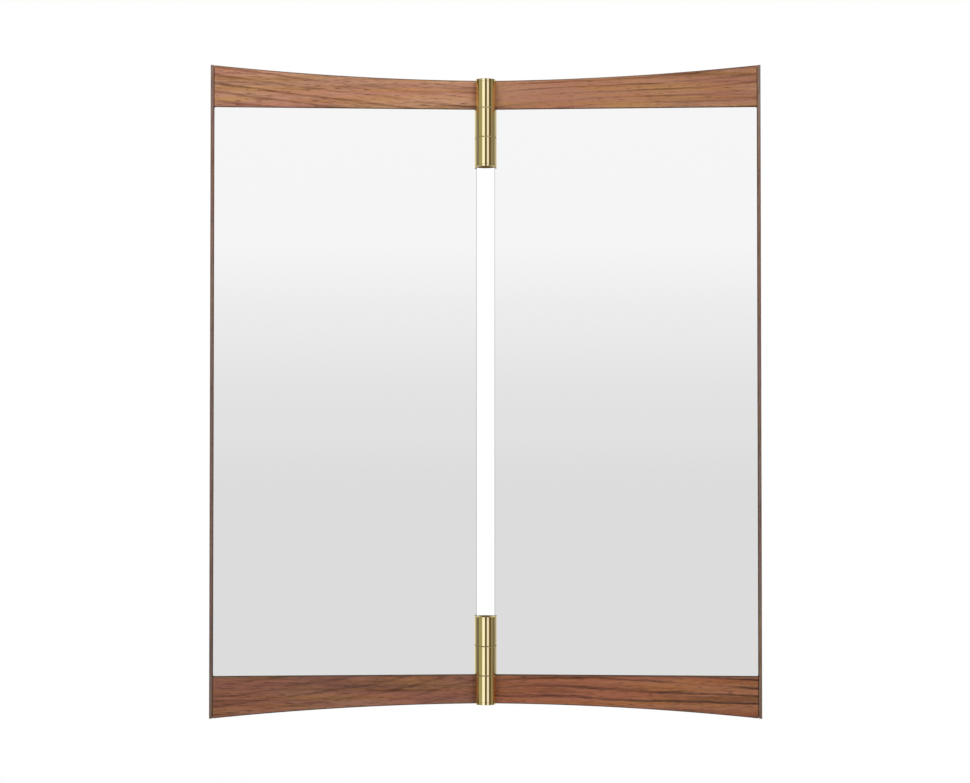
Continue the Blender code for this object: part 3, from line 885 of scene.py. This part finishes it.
def build_caps(end):
    """Turned end caps with a chamfered rim and a shallow dish in the outer face."""
    for place in ("outer", "inner"):
        node = f"{end}_hinge_cap_{place}"
        low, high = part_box(node)
        radius = (high.x - low.x) / 2
        top = (high.z - low.z) / 2
        foot = -top - JOINT_FILL
        chamfer = CAP_CHAMFERS[place]
        bulge = chamfer * CAP_BULGE
        profile = [
            (0.0, top - CAP_DISH_DEPTH),
            (radius - CAP_RIM_WIDTH - CAP_DISH_SLOPE, top - CAP_DISH_DEPTH),
            (radius - CAP_RIM_WIDTH, top),
            (radius - chamfer, top),
            (radius - bulge, top - bulge),
            (radius, top - chamfer),
            (radius, foot + KNUCKLE_CHAMFER),
            (radius - KNUCKLE_CHAMFER, foot),
            (0.0, foot),
        ]
        outward = 1 if (end == "top") == (place == "outer") else -1
        turn = Matrix.Rotation(0 if outward > 0 else math.pi, 4, "X")
        centre = Vector((0, 0, (low.z + high.z) / 2))
        mesh = placed(turned(node, profile, ROUND_STEPS), Matrix.Translation(centre) @ turn)
        show(mesh, FIXED, [node], [BRASS], TURNED_SHARP_ANGLE, False)


def build_hanger(label):
    """A pressed keyhole plate with rounded corners, countersunk holes and its two screws."""
    node = f"wall_hanger_{label}"
    plate = fixed_spans(node)
    x_span, z_span = side_span(FIXED, plate.reach), plate.height
    middle_x, middle_z = sum(x_span) / 2, sum(z_span) / 2
    outline = rounded_rectangle(x_span, z_span, 0.0)
    mesh = slab(node, outline, plate.depth, HANGER_EASE, 2, 0)
    back = plate.depth[1]
    entry_z, slot_z = middle_z + ENTRY_HEIGHT, middle_z + SLOT_HEIGHT
    through = Matrix.Rotation(-math.pi / 2, 4, "X")
    cutters = []
    for z, radius in ((entry_z, ENTRY_RADIUS), (slot_z, SLOT_RADIUS)):
        hole = drum(radius, -CUT_BEYOND, CUT_BEYOND)
        cutters.append(placed(hole, Matrix.Translation((middle_x, back, z)) @ through))
    slot_width = (middle_x - SLOT_RADIUS, middle_x + SLOT_RADIUS)
    slot_depths = (back - CUT_BEYOND, back + CUT_BEYOND)
    cutters.append(block("slot", slot_width, slot_depths, (entry_z, slot_z), CUT_EASE))
    for side in ("a", "b"):
        low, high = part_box(f"{node}_screw_{side}")
        head = Vector(((low.x + high.x) / 2 - AXIS.x, back, (low.z + high.z) / 2))
        cutters.append(screw_cutter(head, through))
        build_screw(FIXED, f"{node}_screw_{side}", head, through, Vector((0, -1, 0)), STEEL, "steel")
    mesh = combined(mesh, cutters, "DIFFERENCE")
    show(mesh, FIXED, [node], [STEEL], TURNED_SHARP_ANGLE, False)


def build_bumpers():
    """Felt discs with soft rims."""
    radius, half = BUMPER_RADIUS, BUMPER_HALF_THICKNESS
    rim = [(radius - inward, half - down) for inward, down in BUMPER_RIM]
    profile = [(0.0, half), *rim, (radius, -half), (0.0, -half)]
    through = Matrix.Rotation(-math.pi / 2, 4, "X")
    for label in ("top", "bottom"):
        node = f"swing_bumper_{label}"
        low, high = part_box(node)
        centre = SWING.matrix.inverted() @ ((low + high) / 2)
        mesh = placed(turned(node, profile, SMALL_STEPS), Matrix.Translation(centre) @ through)
        show(mesh, SWING, [node], [FELT], FELT_SHARP_ANGLE, False)


def build_washers(end):
    """Thin washers between the knuckles, a hair smaller than the barrel."""
    bore = hinge_numbers(end)[1]
    for place in ("outer", "inner"):
        node = f"{end}_hinge_washer_{place}"
        low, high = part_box(node)
        low_z, high_z = low.z - WASHER_FILL, high.z + WASHER_FILL
        rim = (high.x - low.x) / 2
        profile = [(bore, high_z), (rim, high_z), (rim, low_z), (bore, low_z)]
        mesh = turned(node, profile, ROUND_STEPS, True)
        show(mesh, FIXED, [node], [NYLON], TURNED_SHARP_ANGLE, False)


def dress_hidden_nodes():
    """Materials for the CAD nodes that stay as they are: pins, tape and dowels."""
    for name, node in frame["nodes"].items():
        for word, material in (("_pin", SPRING_STEEL), ("tape", TAPE), ("dowel", BEECH)):
            if word in name:
                node.data.materials.clear()
                node.data.materials.append(material)


def build_object():
    for panel in (FIXED, SWING):
        build_rails(panel)
        build_outer_stile(panel)
        build_flat_members(panel)
        build_glass(panel)
    for end in ("top", "bottom"):
        build_leaf(FIXED, end, (0, 2))
        build_leaf(SWING, end, (1,))
        build_caps(end)
        build_washers(end)
    for label in ("left", "right"):
        build_hanger(label)
    build_bumpers()
    dress_hidden_nodes()


# ---------------------------------------------------------------- camera, light and floor

BISECTOR = -FOLD / 2

# What the sharp mirrors see, by elevation in degrees
WALL_GREYS = ((-30, 0.78), (-14, 0.755), (-0.94, 0.740), (-0.18, 0.777), (0.57, 0.780), (1.33, 0.797),
              (2.08, 0.824), (3.59, 0.882), (4.32, 0.918), (5.0, 0.948), (14, 0.966), (30, 1.0))

# How far that wall dims to either side of the middle, by azimuth in degrees
WALL_SIDES = ((0, 1.0), (11, 1.0), (24, 0.55), (48, 0.42), (60, 0.24), (80, 0.20), (86, 0.95), (180, 1.0))

# The elevations between which it dims so
WALL_SIDE_BAND = ((-16, 0.0), (-11, 1.0), (11, 1.0), (16, 0.0))

# What everything else reflects: a dim warm room with light cards. Each card has the azimuths of its
# two edges, how softly they fade and its colour
CARD_STRENGTH = 1.5
ROOM = (0.085, 0.064, 0.040)
LIGHT_CARDS = (
    (-165, -120, 6.0, (0.60, 0.61, 0.66)),
    (-84, -43, 2.0, (0.265, 0.250, 0.180)),
    (-40, -8.5, 1.5, (0.75, 0.78, 0.90)),
    (15, 38, 3.0, (0.66, 0.66, 0.80)),
    (66, 93, 3.0, (0.220, 0.190, 0.140)),
    (120, 165, 6.0, (0.60, 0.61, 0.66)),
)

# A card overhead, by elevation, and the plain light on all that isn't a reflection
OVERHEAD = ((-90, 0.0), (11, 0.0), (19, 1.0), (90, 1.0))
OVERHEAD_CARD = (0.12, 0.115, 0.10)
AMBIENT = 0.14


def build_camera():
    """On the bisector of the two panels, a little below mid-height."""
    camera = bpy.data.objects.new("camera", bpy.data.cameras.new("camera"))
    bpy.context.scene.collection.objects.link(camera)
    camera.data.lens = LENS
    camera.data.sensor_width = SENSOR
    towards = Vector((math.sin(BISECTOR), -math.cos(BISECTOR), 0.0))
    camera.location = AXIS + towards * CAMERA_DISTANCE - Vector((0, 0, CAMERA_DROP))
    aim = AXIS + Vector(AIM_OFFSET)
    camera.rotation_euler = (aim - camera.location).to_track_quat("-Z", "Y").to_euler()
    bpy.context.scene.camera = camera


def sky_place(degrees, whole_turn):
    """Where an angle falls on a ramp that covers the whole turn."""
    return degrees / whole_turn + 0.5


def build_world():
    """White behind the object, a pale graded wall in the mirrors, and light cards in the brass."""
    world = bpy.data.worlds.new("studio")
    bpy.context.scene.world = world
    world.use_nodes = True
    studio = Nodes(world.node_tree)
    studio.tree.nodes.clear()
    direction = studio.node("ShaderNodeTexCoord").outputs["Generated"]
    turned_direction = studio.node("ShaderNodeVectorRotate", rotation_type="Z_AXIS")
    turned_direction.inputs["Angle"].default_value = -BISECTOR
    studio.link(direction, turned_direction.inputs["Vector"])
    split = studio.node("ShaderNodeSeparateXYZ")
    studio.link(turned_direction.outputs["Vector"], split.inputs["Vector"])
    azimuth = studio.math("ARCTAN2", split.outputs["X"], studio.math("MULTIPLY", split.outputs["Y"], -1.0))
    azimuth = studio.math("ADD", studio.math("DIVIDE", azimuth, 2 * math.pi), 0.5)
    elevation = studio.math("ARCSINE", split.outputs["Z"])
    elevation = studio.math("ADD", studio.math("DIVIDE", elevation, math.pi), 0.5)

    wall = studio.ramp(elevation, [(sky_place(degrees, 180.0), grey) for degrees, grey in WALL_GREYS])
    aside = studio.math("MULTIPLY", studio.math("ABSOLUTE", studio.math("SUBTRACT", azimuth, 0.5)), 2.0)
    aside = studio.ramp(aside, [(degrees / 180.0, share) for degrees, share in WALL_SIDES])
    level = studio.ramp(elevation, [(sky_place(degrees, 180.0), share) for degrees, share in WALL_SIDE_BAND])
    wall = studio.mix(level, wall, studio.mix(1.0, wall, aside, "MULTIPLY"))
    stops = [(0.0, ROOM)]
    for start, end, soft, colour in LIGHT_CARDS:
        places = (start - soft, start + soft, end - soft, end + soft)
        stops += zip((sky_place(degrees, 360.0) for degrees in places), (ROOM, colour, colour, ROOM))
    room = studio.ramp(azimuth, stops)
    overhead = studio.ramp(elevation, [(sky_place(degrees, 180.0), grey) for degrees, grey in OVERHEAD])
    room = studio.mix(overhead, room, OVERHEAD_CARD)

    def background(colour, strength=1.0):
        made = studio.node("ShaderNodeBackground")
        studio.feed(made.inputs["Color"], (*colour, 1.0) if isinstance(colour, tuple) else colour)
        made.inputs["Strength"].default_value = strength
        return made.outputs[0]

    def choose(factor, no, yes):
        made = studio.node("ShaderNodeMixShader")
        for socket, value in zip(made.inputs, (factor, no, yes)):
            studio.link(value, socket)
        return made.outputs[0]

    path = studio.node("ShaderNodeLightPath")
    sharp = path.outputs["Is Singular Ray"]
    reflected = choose(sharp, background(room, CARD_STRENGTH), background(wall))
    unseen = choose(path.outputs["Is Glossy Ray"], background((1, 1, 1), AMBIENT), reflected)
    shown = choose(path.outputs["Is Camera Ray"], unseen, background((1, 1, 1)))
    studio.link(shown, studio.node("ShaderNodeOutputWorld").inputs["Surface"])


def add_light(name, place, aim, size, power):
    light = bpy.data.lights.new(name, "AREA")
    light.shape = "RECTANGLE"
    light.size, light.size_y = size
    light.energy = power
    lamp = bpy.data.objects.new(name, light)
    bpy.context.scene.collection.objects.link(lamp)
    lamp.location = place
    lamp.visible_glossy = False
    lamp.rotation_euler = (Vector(aim) - Vector(place)).to_track_quat("-Z", "Y").to_euler()


def build_lights():
    """A large soft light above the front, a weak fill, and a soft light for the back."""
    middle = Vector((AXIS.x, AXIS.y, 0.0))
    upper = middle + Vector((0, 0, 0.20))
    add_light("key", middle + Vector((-0.1, -0.95, 1.15)), upper, (1.8, 0.6), 27.0)
    add_light("fill", middle + Vector((0.9, -1.6, 0.2)), middle, (1.2, 1.2), 4.0)
    add_light("rear", middle + Vector((0.2, 1.6, 1.1)), middle, (1.6, 1.0), 26.0)


def build_floor():
    """A pale disc below the mirror that fades out at its rim."""
    form = bmesh.new()
    bmesh.ops.create_circle(form, cap_ends=True, segments=96, radius=FLOOR_RADIUS)
    floor = bpy.data.objects.new("floor", to_mesh("floor", form))
    bpy.context.scene.collection.objects.link(floor)
    floor.location = (AXIS.x, AXIS.y, cad_low.z - FLOOR_DROP)
    pale = Shader("pale_floor")
    distance = pale.node("ShaderNodeVectorMath", operation="LENGTH")
    pale.link(pale.place(), distance.inputs[0])
    solid = pale.math("DIVIDE", distance.outputs["Value"], FLOOR_RADIUS)
    pale.set(Base_Color=(0.86, 0.86, 0.86, 1.0), Roughness=0.8)
    pale.set(Alpha=pale.ramp(solid, ((0.45, 1.0), (1.0, 0.0)), "EASE"))
    floor.data.materials.append(pale.material)
    floor.visible_glossy = False


build_object()
build_camera()
build_world()
build_lights()
build_floor()
bpy.context.scene.view_settings.view_transform = "Standard"
